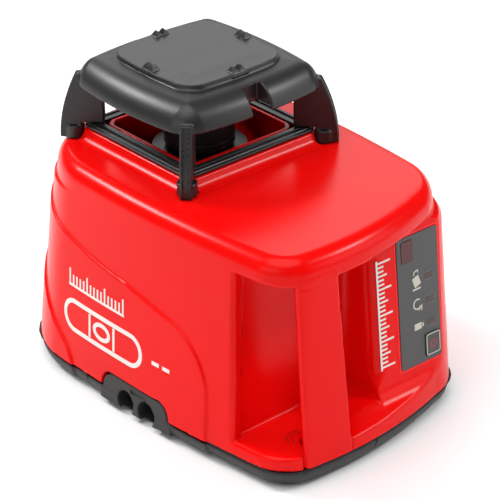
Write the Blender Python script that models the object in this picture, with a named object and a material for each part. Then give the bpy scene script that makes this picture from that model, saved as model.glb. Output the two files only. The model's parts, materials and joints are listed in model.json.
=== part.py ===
"""Rotating laser level: a red two-part housing on a dark base, with a corner handle, a control panel, a
battery case, and a self-levelling spinning head under a black guard cage.

The origin is at the middle of the footprint, on the surface it stands on. +X points to the panel end, +Z up.
"""

import math

import bmesh
import bpy
from mathutils import Matrix

MM = 0.001

# Driving dimensions, in millimetres ---------------------------------------------------------------------

LENGTH = 251.0
GAP = 0.3

# Heights above the surface.
BASE_Z = 1.2
BAND_Z = 10.5
GASKET = (10.8, 11.8)
SHELL_Z = 12.1
LEDGE_Z = 20.5
OPENING_TOP = 124.5
ROOF_Z = 140.0
PLINTH_Z = 146.5
PIVOT_Z = 96.0
BEAM_Z = 161.0

# Plan of the housing, at the roof and at its lower edge.
ROOF_HALF, LOW_HALF = 80.0, 87.0
ROOF_FRONT, LOW_FRONT = 119.0, LENGTH / 2
ROOF_REAR, LOW_REAR = 110.5, LENGTH / 2
WIDEST_X = -18.0
SIDE_BOW = 0.00060
ROOF_END_BOW, END_BOW = 0.0026, 0.0020
LIP_Z = 122.0
END_APEX = -28.0
NEAR_CORNER, FAR_CORNER, REAR_CORNER = 18.0, 24.0, 36.0
SHOULDER = 10.0
WALL = 3.0

# Guard cage, square about the spin axis.
ROTOR_X = -38.5
WELL_HALF = 37.0
RIM_HALF = 40.5
RING_HALF = 49.5
PLINTH_HALF = 53.0
CAP_HALF = 58.0
CAP_BOW = 0.0018
SKIRT_Z = 175.5
CAP_Z = 194.5
FOOT_TIP = 58.0
BOSS_AT = 52.0
BOSS_R = 5.9
FIN = 7.0

# Hand opening, handle and panel.
HAND_WALL_X = 79.5
PAD_EDGE_Y = 4.0
HAND_LIP_TOP, HAND_LIP_LOW = 81.0, 90.0
HANDLE_PARTING_X = 111.0
PANEL_TOP_X = 103.0
PANEL_LEAN = math.radians(4.9)
PANEL_TOP_Z = 125.5
PANEL_FOOT_Z = 27.0
LABEL_Y = (23.3, 54.8)
LABEL_Z = (37.0, 119.0)

# Battery case: the near front quarter of the base.
CASE_X = -42.0
CASE_Y = -8.0
BUMP_X = (-26.0, 31.5)
BUMP_Z = 22.0
PORTS_X = (-5.0, 13.5)
PORT_Z = 9.2
PORT_R = 7.3
CELL_R, CELL_LENGTH = 13.0, 50.0
TRIPOD_BOSS_R = 16.0

# Levelling gear.
ARM_TIP = 49.5
ARM_Z = 80.0
SCREW_AT = 54.0

COLOURS = {
    "red": ((0.62, 0.006, 0.006), 0.32, 0.0),
    "black": ((0.016, 0.016, 0.017), 0.42, 0.0),
    "grey": ((0.045, 0.046, 0.046), 0.55, 0.0),
    "label": ((0.10, 0.10, 0.105), 0.45, 0.0),
    "rubber": ((0.01, 0.01, 0.01), 0.8, 0.0),
    "steel": ((0.55, 0.55, 0.56), 0.3, 1.0),
    "aluminium": ((0.62, 0.63, 0.65), 0.35, 1.0),
    "brass": ((0.72, 0.52, 0.2), 0.3, 1.0),
    "glass": ((0.75, 0.85, 0.85), 0.05, 0.0),
    "red_glass": ((0.12, 0.004, 0.004), 0.1, 0.0),
    "key": ((0.12, 0.12, 0.125), 0.4, 0.0),
    "board": ((0.02, 0.16, 0.06), 0.5, 0.0),
    "cell": ((0.10, 0.22, 0.42), 0.35, 0.2),
}


# Objects ------------------------------------------------------------------------------------------------


def clear_scene():
    for obj in list(bpy.data.objects):
        bpy.data.objects.remove(obj)


def material(colour):
    """The shared Principled material of a colour name, made on first use."""
    if colour in bpy.data.materials:
        return bpy.data.materials[colour]
    base, roughness, metallic = COLOURS[colour]
    made = bpy.data.materials.new(colour)
    made.use_nodes = True
    shader = made.node_tree.nodes["Principled BSDF"]
    shader.inputs["Base Color"].default_value = (*base, 1.0)
    shader.inputs["Roughness"].default_value = roughness
    shader.inputs["Metallic"].default_value = metallic
    made.diffuse_color = (*base, 1.0)
    return made


def make_object(name, shape):
    """Turns a bmesh in millimetres into an object in metres, with its faces pointing out."""
    bmesh.ops.recalc_face_normals(shape, faces=shape.faces)
    bmesh.ops.scale(shape, vec=(MM, MM, MM), verts=shape.verts)
    mesh = bpy.data.meshes.new(name)
    shape.to_mesh(mesh)
    shape.free()
    mesh.shade_smooth()
    mesh.set_sharp_from_angle(angle=math.radians(35))
    obj = bpy.data.objects.new(name, mesh)
    bpy.context.scene.collection.objects.link(obj)
    return obj


def solid(name, shape, colour, at=(0.0, 0.0, 0.0)):
    """A named piece of the object, with its origin at the given place in millimetres."""
    obj = make_object(name, shape)
    obj.data.materials.append(material(colour))
    obj.location = [value * MM for value in at]
    return obj


def helper(name, shape):
    """A hidden object that only shapes others."""
    made = make_object(name, shape)
    made.hide_render = True
    made.display_type = "WIRE"
    return made


def combine_object(obj, other, operation):
    boolean = obj.modifiers.new(operation.lower(), "BOOLEAN")
    boolean.operation = operation
    boolean.object = other
    boolean.solver = "EXACT"


def combine(obj, shape, operation):
    """Adds a Boolean with a hidden helper, given in the object's own millimetres."""
    other = helper(obj.name + "_helper", shape)
    other.location = obj.location
    combine_object(obj, other, operation)


def cut(obj, *shapes):
    for shape in shapes:
        combine(obj, shape, "DIFFERENCE")


def add(obj, *shapes):
    for shape in shapes:
        combine(obj, shape, "UNION")


def keep(obj, shape):
    combine(obj, shape, "INTERSECT")


# Shapes, each a bmesh in millimetres --------------------------------------------------------------------


def loft(rings, loop=False):
    """Skins rings of equal length. A loop joins the last ring to the first, otherwise both ends are capped."""
    shape = bmesh.new()
    rows = [[shape.verts.new(point) for point in ring] for ring in rings]
    count = len(rows[0])
    pairs = list(zip(rows, rows[1:]))
    if loop:
        pairs.append((rows[-1], rows[0]))
    else:
        shape.faces.new(rows[0])
        shape.faces.new(rows[-1])
    for low, high in pairs:
        for i in range(count):
            j = (i + 1) % count
            shape.faces.new((low[i], low[j], high[j], high[i]))
    return shape


def raised(outline, z):
    return [(x, y, z) for x, y in outline]


def prism(outline, low, high):
    return loft([raised(outline, low), raised(outline, high)])


def frame(outer, inner, low, high):
    return loft([raised(outer, low), raised(outer, high), raised(inner, high), raised(inner, low)], loop=True)


def circle(radius, steps=24, centre=(0.0, 0.0)):
    turns = [2 * math.pi * i / steps for i in range(steps)]
    return [(centre[0] + radius * math.cos(a), centre[1] + radius * math.sin(a)) for a in turns]


def disc(radius, low, high, steps=24, centre=(0.0, 0.0)):
    return prism(circle(radius, steps, centre), low, high)


def pipe(outer, inner, low, high, steps=24, centre=(0.0, 0.0)):
    return frame(circle(outer, steps, centre), circle(inner, steps, centre), low, high)


def box(low, high):
    outline = [(low[0], low[1]), (high[0], low[1]), (high[0], high[1]), (low[0], high[1])]
    return prism(outline, low[2], high[2])


def arc(centre, radius, start, end, steps):
    turns = [start + (end - start) * i / steps for i in range(steps + 1)]
    return [(centre[0] + radius * math.cos(a), centre[1] + radius * math.sin(a)) for a in turns]


def rounded(half_x, half_y, radius, steps=4, centre=(0.0, 0.0)):
    """A rounded rectangle, anticlockwise."""
    points = []
    for quarter, (sx, sy) in enumerate([(1, 1), (-1, 1), (-1, -1), (1, -1)]):
        middle = (centre[0] + sx * (half_x - radius), centre[1] + sy * (half_y - radius))
        start = quarter * math.pi / 2
        points += arc(middle, radius, start, start + math.pi / 2, steps)
    return points


def laid(shape, axis):
    """Turns a shape drawn along Z so that it lies along X or Y."""
    turn = Matrix.Rotation(math.pi / 2, 4, "Y") if axis == "X" else Matrix.Rotation(-math.pi / 2, 4, "X")
    bmesh.ops.transform(shape, matrix=turn, verts=shape.verts)
    return shape


def moved(shape, x, y, z):
    bmesh.ops.translate(shape, vec=(x, y, z), verts=shape.verts)
    return shape


def turned_about_z(shape, angle):
    bmesh.ops.rotate(shape, cent=(0, 0, 0), matrix=Matrix.Rotation(angle, 3, "Z"), verts=shape.verts)
    return shape


def unit(x, y):
    size = math.hypot(x, y)
    return x / size, y / size


def half_outline(front, apex, rear, half, side_bow, end_bow, widest, front_corner, rear_corner, steps):
    """The half of a bowed outline from the front end's apex round to the rear end's middle, on the +Y side."""
    end_steps, corner_steps, side_steps = steps

    def side(x):
        return (x, half - side_bow * (x - widest) ** 2), unit(2 * side_bow * (x - widest), 1.0)

    def end(y, sign):
        reach, middle = (front, apex) if sign > 0 else (rear, 0.0)
        return (sign * (reach - end_bow * (y - middle) ** 2), y), unit(sign, 2 * end_bow * (y - middle))

    def corner(sign, radius):
        along, across = sign * (front if sign > 0 else rear), half
        for _ in range(30):
            (_, side_y), side_out = side(along)
            (end_x, _), end_out = end(across, sign)
            along = end_x - radius * end_out[0] + radius * side_out[0]
            across = side_y - radius * side_out[1] + radius * end_out[1]
        (x, y), out = side(along)
        return along, across, (x - radius * out[0], y - radius * out[1])

    def angle(out):
        return math.atan2(out[1], out[0])

    front_x, front_y, front_middle = corner(1, front_corner)
    rear_x, rear_y, rear_middle = corner(-1, rear_corner)
    points = [end(apex + (front_y - apex) * i / end_steps, 1)[0] for i in range(end_steps)]
    points += arc(front_middle, front_corner, angle(end(front_y, 1)[1]), angle(side(front_x)[1]), corner_steps)
    points += [side(front_x + (rear_x - front_x) * i / side_steps)[0] for i in range(1, side_steps)]
    points += arc(rear_middle, rear_corner, angle(side(rear_x)[1]), angle(end(rear_y, -1)[1]), corner_steps)
    points += [end(rear_y * (end_steps - i) / end_steps, -1)[0] for i in range(1, end_steps + 1)]
    return points


def bowed(front, apex, rear, half, side_bow, end_bow, widest, front_corners, rear_corner, steps=(4, 5, 8)):
    """An anticlockwise outline with bowed sides and ends joined by round corners.

    side_bow and end_bow are the curvature terms of parabolas. The front end's apex may lie off the middle, and
    its near and far corners may differ. steps counts the segments of half an end, of a corner and of a side.
    """
    near_corner, far_corner = front_corners
    far = half_outline(front, apex, rear, half, side_bow, end_bow, widest, far_corner, rear_corner, steps)
    near = half_outline(front, -apex, rear, half, side_bow, end_bow, widest, near_corner, rear_corner, steps)
    return far + [(x, -y) for x, y in reversed(near[1:-1])]


def housing_plan(z, inset=0.0):
    """Outline of the housing at height z, drawn in by inset. It widens steadily from the roof down."""
    drop = (ROOF_Z - z) / (ROOF_Z - SHELL_Z)
    end_bow = ROOF_END_BOW if z > LIP_Z else END_BOW
    return bowed(
        ROOF_FRONT + (LOW_FRONT - ROOF_FRONT) * drop - inset,
        END_APEX,
        ROOF_REAR + (LOW_REAR - ROOF_REAR) * drop - inset,
        ROOF_HALF + (LOW_HALF - ROOF_HALF) * drop - inset,
        SIDE_BOW,
        end_bow,
        WIDEST_X,
        (NEAR_CORNER - inset, FAR_CORNER - inset),
        REAR_CORNER - inset,
    )


def housing_block(inset=0.0, low=SHELL_Z, high=ROOF_Z):
    """The housing's outer form as one block with a round shoulder, drawn in by inset."""
    radius = SHOULDER - inset
    rings = [raised(housing_plan(z, inset), z) for z in (low, (low + high) / 2, LIP_Z)]
    for i in range(5):
        turn = math.pi / 2 * i / 4
        z = high - radius + radius * math.sin(turn)
        rings.append(raised(housing_plan(z, inset + radius * (1 - math.cos(turn))), z))
    return loft(rings)


def cap_plan(half, radius):
    return bowed(half, 0.0, half, half, CAP_BOW, CAP_BOW, 0.0, (radius, radius), radius, steps=(3, 4, 6))


# Housing ------------------------------------------------------------------------------------------------


def hand_space(margin=0.0):
    """The room around the handle: open to the near side, and to the end between the handle and the panel.

    The housing's side skin runs a little past the wall behind the fingers, further at the foot.
    """
    wall, edge, bend = HAND_WALL_X - margin, PAD_EDGE_Y + margin, 9.0
    rings = []
    for z, lip in ((LEDGE_Z - margin, HAND_LIP_LOW), (OPENING_TOP + margin, HAND_LIP_TOP)):
        outline = [(140.0, edge), (140.0, -110.0), (lip - margin, -110.0), (lip - margin, -79.0)]
        outline += [(wall, -74.0), (wall, edge - bend)]
        outline += arc((wall + bend, edge - bend), bend, math.pi, math.pi / 2, 4)[1:]
        rings.append(raised(outline, z))
    return loft(rings)


def panel_x(z):
    """The panel face leans forwards towards its foot."""
    return PANEL_TOP_X + (PANEL_TOP_Z - z) * math.tan(PANEL_LEAN)


def panel_space():
    """The shallow recess in front of the panel, between the roof's lip and the ledge, which slopes outwards."""
    rings = []
    for y in (PAD_EDGE_Y - 12.0, 100.0):
        ring = [
            (panel_x(PANEL_FOOT_Z), y, PANEL_FOOT_Z),
            (panel_x(PANEL_TOP_Z), y, PANEL_TOP_Z),
            (150.0, y, PANEL_TOP_Z),
            (150.0, y, LEDGE_Z - 8.0),
            (LOW_FRONT - 1.5, y, LEDGE_Z),
        ]
        rings.append(ring)
    return loft(rings)


def bump_outline(margin=0.0):
    """The rise of the base around the two ports, as seen from the side: x and z."""
    left, right, top, bend = BUMP_X[0] - margin, BUMP_X[1] + margin, BUMP_Z + margin, 8.0
    points = [(left - 3.0, 0.0), (left - 3.0, BAND_Z + margin), (left, BAND_Z + margin)]
    points += arc((left + bend + 2.0, top - bend), bend, math.pi, math.pi / 2, 4)
    points += arc((right - bend - 2.0, top - bend), bend, math.pi / 2, 0.0, 4)
    points += [(right, BAND_Z + margin), (right + 3.0, BAND_Z + margin), (right + 3.0, 0.0)]
    return points


def bump_prism(margin, outer, inner):
    """The bump's outline as a slab standing across Y, between two distances from the middle plane."""
    rings = [[(x, y, z) for x, z in bump_outline(margin)] for y in (-outer, -inner)]
    return loft(rings)


def handle_outline(grow, shift):
    """Section of the handle, a blunt wedge whose wide side lies flush with the end of the housing."""
    points = [(135.0, -76.5), (119.0, -64.2), (104.5, -52.5), (102.0, -46.0), (104.0, -39.0)]
    points += [(119.0, -33.5), (135.0, -32.5)]
    middle = (122.0, -48.0)
    moved_out = []
    for x, y in points:
        out = unit(x - middle[0], y - middle[1])
        moved_out.append((x + grow * out[0], y + grow * out[1] + shift))
    return moved_out


def handle_block(grow=0.0, low=SHELL_Z, high=OPENING_TOP - GAP):
    """The handle leans a little towards the panel on its way down."""
    foot_shift = 5.5
    rings = []
    for z in (low, high):
        shift = foot_shift * (OPENING_TOP - z) / (OPENING_TOP - SHELL_Z)
        rings.append(raised(handle_outline(grow, shift), z))
    return loft(rings)


def handle_half(low_x, high_x, high):
    """The part of the handle between two planes across X, its outer side flush with the end of the housing."""
    half = helper("handle_half", housing_block())
    keep(half, handle_block(0.0, SHELL_Z, high))
    keep(half, box((low_x, -90.0, 0.0), (high_x, 0.0, 140.0)))
    return half


def make_upper_housing():
    """The main red moulding: roof, sides, hand recess, panel and the front half of the handle."""
    housing = solid("upper_housing", housing_block(), "red")
    axis = (ROTOR_X, 0.0)
    plinth = loft([
        raised(rounded(PLINTH_HALF, PLINTH_HALF, 7.0, centre=axis), ROOF_Z - 2.0),
        raised(rounded(PLINTH_HALF - 3.0, PLINTH_HALF - 3.0, 5.0, centre=axis), PLINTH_Z),
    ])
    add(housing, plinth)
    cavity = housing_block(WALL, SHELL_Z - 1.0, ROOF_Z - WALL)
    behind_panel = HAND_WALL_X - WALL
    blocked = box((behind_panel, -120.0, 0.0), (150.0, PAD_EDGE_Y + WALL + 3.0, 160.0))
    front = box((panel_x(PANEL_TOP_Z) - WALL, -120.0, 0.0), (150.0, 120.0, 160.0))
    hollow = helper("housing_cavity", cavity)
    cut(hollow, blocked, front)
    combine_object(housing, hollow, "DIFFERENCE")
    well_outer = rounded(WELL_HALF + WALL, WELL_HALF + WALL, 8.0, centre=axis)
    well_inner = rounded(WELL_HALF, WELL_HALF, 6.0, centre=axis)
    add(housing, prism(well_outer, 118.0, ROOF_Z - 1.0))
    cut(housing, prism(well_inner, 100.0, PLINTH_Z + 5.0))
    cut(housing, hand_space(), panel_space())
    cut(housing, handle_block(GAP, SHELL_Z - 1.0, LEDGE_Z + 1.0))
    combine_object(housing, handle_half(HANDLE_PARTING_X + GAP / 2, 140.0, OPENING_TOP + 1.0), "UNION")
    cut(housing, bump_prism(GAP, 100.0, 70.0))
    for sx, sy in ((1, 1), (-1, 1), (-1, -1), (1, -1)):
        corner = (ROTOR_X + sx * BOSS_AT, sy * BOSS_AT)
        cut(housing, disc(BOSS_R + 0.5, ROOF_Z + 0.05, PLINTH_Z + 1.0, 20, corner))
        cut(housing, disc(1.9, ROOF_Z - 8.0, ROOF_Z + 1.0, 12, corner))
    return housing


def make_handle():
    """The rear shell of the handle; its front half is moulded with the housing."""
    shell = handle_half(90.0, HANDLE_PARTING_X - GAP / 2, OPENING_TOP - GAP)
    shell.name = "handle_rear_shell"
    shell.hide_render = False
    shell.display_type = "TEXTURED"
    shell.data.materials.append(material("red"))


# Base and battery case --------------------------------------------------------------------------------


def base_block():
    """The dark base: its edge turns in towards the ground."""
    levels = [(BASE_Z, 6.0), (BASE_Z + 2.5, 3.0), (BASE_Z + 5.5, 1.2), (BAND_Z, 0.4)]
    return loft([raised(housing_plan(SHELL_Z, edge), z) for z, edge in levels])


def case_zone(margin):
    return box((CASE_X - margin, -120.0, -5.0), (150.0, CASE_Y + margin, 60.0))


def make_base():
    base = solid("base_shell", base_block(), "grey")
    cut(base, prism(housing_plan(SHELL_Z, 8.0), BASE_Z + 3.0, BAND_Z + 5.0))
    cut(base, case_zone(GAP))
    add(base, disc(TRIPOD_BOSS_R, BASE_Z, 16.0, 32, (ROTOR_X, 0.0)))
    cut(base, disc(13.0, BASE_Z - 1.0, 17.0, 32, (ROTOR_X, 0.0)))
    insert = pipe(12.7, 7.95, BASE_Z + 0.1, 15.5, 32)
    solid("tripod_insert", insert, "brass", at=(ROTOR_X, 0.0, 0.0))
    outer = housing_plan(SHELL_Z, 0.9)
    gasket = solid("base_gasket", frame(outer, housing_plan(SHELL_Z, 2.6), *GASKET), "rubber")
    cut(gasket, bump_prism(GAP, 100.0, 60.0))
    for name, x, y in (("foot_rear_near", -98, -58), ("foot_rear_far", -98, 58), ("foot_front_far", 92, 58)):
        solid(name, disc(6.0, -BASE_Z, -GAP, 20), "rubber", at=(x, y, BASE_Z))


def make_battery_case():
    """The battery case drops out of the base, with the cells, the charging socket and the lock."""
    case = solid("battery_case", base_block(), "grey")
    keep(case, case_zone(-GAP))
    cut(case, prism(housing_plan(SHELL_Z, 8.0), BASE_Z + 3.0, BAND_Z + 5.0))
    cut(case, disc(TRIPOD_BOSS_R + 2 * GAP, BASE_Z - 1.0, 20.0, 32, (ROTOR_X, 0.0)))
    solid("foot_front_near", disc(6.0, -BASE_Z, -GAP, 20), "rubber", at=(92.0, -52.0, BASE_Z))
    port_block = helper("port_block", housing_block(0.4, 3.4, ROOF_Z))
    keep(port_block, bump_prism(-0.05, 100.0, 71.0))
    combine_object(case, port_block, "UNION")
    for x in PORTS_X:
        port = moved(laid(disc(PORT_R, -95.0, -73.5), "Y"), x, 0.0, PORT_Z)
        cut(case, port)
    return case


# Guard cage ---------------------------------------------------------------------------------------------


def about_axis(shape):
    return moved(shape, ROTOR_X, 0.0, 0.0)


def cap_block(inset):
    """The dome of the cage: a bowed square with a soft shoulder and a gently crowned top."""
    levels = [
        (SKIRT_Z - (1.0 if inset else 0.0), 0.0),
        (SKIRT_Z + 5.0, 0.4),
        (SKIRT_Z + 9.0, 2.6),
        (SKIRT_Z + 12.5, 7.0),
        (SKIRT_Z + 15.0, 14.0),
        (SKIRT_Z + 17.2, 24.0),
        (CAP_Z, 38.0),
    ]
    rings = []
    for z, drawn_in in levels:
        half = CAP_HALF - drawn_in - inset
        rings.append(raised(cap_plan(half, max(3.0, 13.0 - drawn_in * 0.15 - inset)), z - inset))
    return loft(rings)


def fin_block():
    """One post seen along the diagonal: a thin web, wide at the foot, with its outer edge curving outwards."""
    side = [
        (57.0, 149.8),
        (69.0, 149.8),
        (69.0, 140.3),
        (FOOT_TIP * math.sqrt(2), 140.3),
        (80.8, 148.0),
        (78.6, 160.0),
        (75.0, 172.0),
        (72.0, 179.0),
        (60.0, 181.0),
        (56.0, 178.0),
    ]
    rings = [[(r, y, z) for r, z in side] for y in (-FIN / 2, FIN / 2)]
    return loft(rings)


def make_cage():
    """The guard cage: dome, four posts with screw bosses, sighting notches and a slot in each end's skirt."""
    cage = solid("guard_cage", about_axis(cap_block(0.0)), "black")
    cut(cage, about_axis(cap_block(2.4)))
    for quarter in range(4):
        turn = math.pi / 4 + quarter * math.pi / 2
        sx, sy = math.copysign(1, math.cos(turn)), math.copysign(1, math.sin(turn))
        corner = (ROTOR_X + sx * BOSS_AT, sy * BOSS_AT)
        boss = helper("cage_boss", disc(BOSS_R, 140.3, 148.3, 16, corner))
        cut(boss, disc(4.4, 146.8, 149.0, 12, corner))
        combine_object(cage, boss, "UNION")
        add(cage, about_axis(turned_about_z(fin_block(), turn)))
        cut(cage, disc(1.8, 139.0, 145.5, 12, corner))
    for sign in (1, -1):
        end_x = ROTOR_X + sign * 58.0
        slot = box((end_x - 18.0, -7.0, SKIRT_Z - 2.0), (end_x + 12.0, 7.0, 189.5))
        cut(cage, slot)
    pad = rounded(37.0, 37.0, 10.0, centre=(ROTOR_X, 0.0))
    add(cage, prism(pad, CAP_Z - 5.5, CAP_Z + 0.6))
    for quarter in range(4):
        sight = loft([
            [(x, y, CAP_Z - 2.0) for x, y in ((31.0, -5.0), (38.0, -5.0), (38.0, 5.0), (31.0, 5.0))],
            [(x, y, CAP_Z + 3.6) for x, y in ((33.0, -3.4), (36.0, -3.4), (36.0, 3.4), (33.0, 3.4))],
        ])
        notch = loft([
            [(x, 0.0, CAP_Z + 0.8) for x in (28.0, 41.0)] + [(x, 0.01, CAP_Z + 0.8) for x in (41.0, 28.0)],
            [(x, -1.8, CAP_Z + 5.0) for x in (28.0, 41.0)] + [(x, 1.8, CAP_Z + 5.0) for x in (41.0, 28.0)],
        ])
        turn = quarter * math.pi / 2
        add(cage, about_axis(turned_about_z(sight, turn)))
        cut(cage, about_axis(turned_about_z(notch, turn)))
    for index in range(4):
        turn = math.pi / 4 + index * math.pi / 2
        x = ROTOR_X + math.copysign(BOSS_AT, math.cos(turn))
        y = math.copysign(BOSS_AT, math.sin(turn))
        screw = solid(f"cage_screw_{index + 1}", disc(1.5, 133.0, 145.0, 12), "steel", at=(x, y, 0.0))
        add(screw, disc(3.0, 133.5, 136.4, 12))


def make_ring():
    """The square frame around the well, with a seal in its groove."""
    axis = (ROTOR_X, 0.0)
    low, high = PLINTH_Z + GAP, PLINTH_Z + 2.8
    outer = rounded(RING_HALF, RING_HALF, 7.5, 2, axis)
    inner = rounded(RIM_HALF, RIM_HALF, 3.0, 2, axis)
    ring = solid("cage_frame", frame(outer, inner, low, high), "black")
    groove = frame(rounded(46.3, 46.3, 5.3, 2, axis), rounded(44.2, 44.2, 4.2, 2, axis), low + 0.9, high + 1.0)
    cut(ring, groove)
    seal = frame(rounded(46.0, 46.0, 5.1, 2, axis), rounded(44.5, 44.5, 4.4, 2, axis), low + 1.2, high - 0.6)
    solid("cage_frame_seal", seal, "rubber")


# Spinning head and levelling gear -----------------------------------------------------------------------


def make_chassis():
    """The levelling chassis hangs under the roof and carries the outer gimbal pivots and both motors."""
    chassis = solid("levelling_chassis", pipe(50.0, 39.0, 62.0, 65.0, 32), "aluminium", at=(ROTOR_X, 0.0, 0.0))
    for sx, sy in ((1, 1), (-1, 1), (-1, -1), (1, -1)):
        add(chassis, box((sx * 43.5 - 3.5, sy * 43.5 - 3.5, 62.0), (sx * 43.5 + 3.5, sy * 43.5 + 3.5, 136.5)))
        add(chassis, box((min(sx * 34, sx * 50), min(sy * 34, sy * 50), 62.0),
                         (max(sx * 34, sx * 50), max(sy * 34, sy * 50), 65.0)))
    for sign in (1, -1):
        middle = sign * 41.5
        add(chassis, box((middle - 1.5, -9.5, 63.0), (middle + 1.5, 9.5, PIVOT_Z + 5.0)))
        cut(chassis, box((middle - 3.0, -5.5, ARM_Z - 8.0), (middle + 3.0, 5.5, ARM_Z + 8.0)))
        cut(chassis, moved(laid(disc(2.3, -6.0, 6.0, 16), "X"), middle, 0.0, PIVOT_Z))
    for index, sign in enumerate((1, -1)):
        pin = moved(laid(disc(2.0, -6.0, 6.0, 16), "X"), sign * 39.8, 0.0, 0.0)
        solid(f"outer_pivot_pin_{index + 1}", pin, "steel", at=(ROTOR_X, 0.0, PIVOT_Z))
    return chassis


def make_gimbal():
    """The gimbal ring turns about X on the chassis; the spindle carrier turns about Y in the ring."""
    ring = solid("gimbal_ring", pipe(37.0, 31.0, -4.0, 4.0, 40), "aluminium", at=(ROTOR_X, 0.0, PIVOT_Z))
    for sign in (1, -1):
        cut(ring, moved(laid(disc(2.3, -6.0, 6.0, 16), "X"), sign * 34.0, 0.0, 0.0))
        cut(ring, moved(laid(disc(2.3, -6.0, 6.0, 16), "Y"), 0.0, sign * 34.0, 0.0))
    for index, sign in enumerate((1, -1)):
        pin = moved(laid(disc(2.0, -7.0, 7.0, 16), "Y"), 0.0, sign * 29.5, 0.0)
        solid(f"inner_pivot_pin_{index + 1}", pin, "steel", at=(ROTOR_X, 0.0, PIVOT_Z))


def make_carrier():
    """The tilting carrier: laser barrel, trunnions, motor deck and the two levelling arms."""
    at = (ROTOR_X, 0.0, PIVOT_Z)
    carrier = solid("spindle_carrier", pipe(11.0, 8.3, -40.0, 17.0, 24), "black", at=at)
    add(carrier, pipe(28.0, 10.0, 15.0, 18.0, 32))
    for sign in (1, -1):
        trunnion = moved(laid(disc(5.0, -8.4, 8.4, 16), "Y"), 0.0, sign * 18.4, 0.0)
        add(carrier, trunnion)
        cut(carrier, moved(laid(disc(2.3, -5.5, 5.5, 16), "Y"), 0.0, sign * 27.0, 0.0))
    rise = ARM_Z - PIVOT_Z
    add(carrier, moved(laid(disc(2.5, 9.5, ARM_TIP, 12), "X"), 0.0, 0.0, rise))
    add(carrier, moved(laid(disc(2.5, 9.5, ARM_TIP, 12), "Y"), 0.0, 0.0, rise))
    cut(carrier, disc(5.0, 10.0, 20.0, 16, (0.0, 0.0)))
    cut(carrier, disc(8.3, -41.0, 19.0, 24))
    cut(carrier, disc(2.4, 10.0, 20.0, 12, (19.0, 0.0)))
    laser = solid("laser_module", disc(8.0, -38.0, 2.0, 24), "brass", at=at)
    cut(laser, disc(2.0, 0.0, 5.0, 12))
    solid("collimator_lens", disc(7.9, 2.6, 5.2, 24), "glass", at=at)
    solid("head_bearing", pipe(8.0, 5.6, 9.0, 14.0, 24), "steel", at=at)
    motor = solid("spin_motor", disc(7.3, -5.0, 14.7, 20), "steel", at=(ROTOR_X + 19.0, 0.0, PIVOT_Z))
    cut(motor, disc(1.6, 5.0, 16.0, 12))
    shroud = solid("head_shroud", pipe(28.0, 26.0, 18.3, 41.0, 40), "black", at=at)
    add(shroud, pipe(27.0, 14.0, 39.0, 41.0, 40))
    return carrier


def make_head():
    """Everything that spins: hollow spindle, pulley, beam head with its windows, prism and cap."""
    at = (ROTOR_X, 0.0, PIVOT_Z)
    spindle = solid("rotor_spindle", pipe(5.3, 4.0, 9.0, 46.0, 24), "steel", at=at)
    add(spindle, pipe(9.0, 4.5, 22.0, 23.0, 24), pipe(8.0, 4.5, 23.0, 27.0, 24), pipe(9.0, 4.5, 27.0, 28.0, 24))
    beam = BEAM_Z - PIVOT_Z
    head = solid("rotor_head", pipe(21.0, 5.6, 43.0, 76.0, 40), "black", at=at)
    cut(head, disc(17.5, 49.0, 73.5, 32))
    cut(head, box((10.0, -7.0, beam - 6.0), (25.0, 7.0, beam + 6.0)))
    cut(head, box((-25.0, -7.0, beam - 6.0), (-10.0, 7.0, beam + 6.0)))
    cut(head, disc(17.5, 73.0, 78.0, 32))
    solid("rotor_head_cap", disc(17.2, 73.8, 76.6, 32), "black", at=at)
    prism_outline = [(-7.0, -7.0), (6.0, -7.0), (8.4, 1.0), (1.0, 8.4), (-7.0, 6.0)]
    rings = [[(x, y, z + beam) for x, z in prism_outline] for y in (-7.0, 7.0)]
    solid("pentaprism", loft(rings), "glass", at=at)
    for index, sign in enumerate((1, -1)):
        low, high = sorted((sign * 17.9, sign * 19.6))
        pane = box((low, -6.6, beam - 5.6), (high, 6.6, beam + 5.6))
        solid(f"beam_window_{index + 1}", pane, "glass", at=at)


def belt_outline(grow):
    """A belt round the spindle pulley and the motor pulley: two round ends joined by straight runs."""
    big, small, span = 8.0 + grow, 4.0 + grow, 19.0
    lean = math.asin((big - small) / span)
    first = arc((0.0, 0.0), big, math.pi / 2 - lean, 3 * math.pi / 2 + lean, 12)
    second = arc((span, 0.0), small, lean - math.pi / 2, math.pi / 2 - lean, 8)
    return first + second


def make_drive():
    at = (ROTOR_X, 0.0, PIVOT_Z)
    motor_at = (ROTOR_X + 19.0, 0.0, PIVOT_Z)
    shaft = solid("motor_pulley", disc(1.2, 5.4, 28.0, 12), "brass", at=motor_at)
    add(shaft, disc(4.6, 22.0, 23.0, 20), disc(4.0, 23.0, 27.0, 20), disc(4.6, 27.0, 28.0, 20))
    belt = frame(belt_outline(1.1), belt_outline(0.3), 23.7, 26.3)
    solid("drive_belt", belt, "rubber", at=at)


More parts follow.
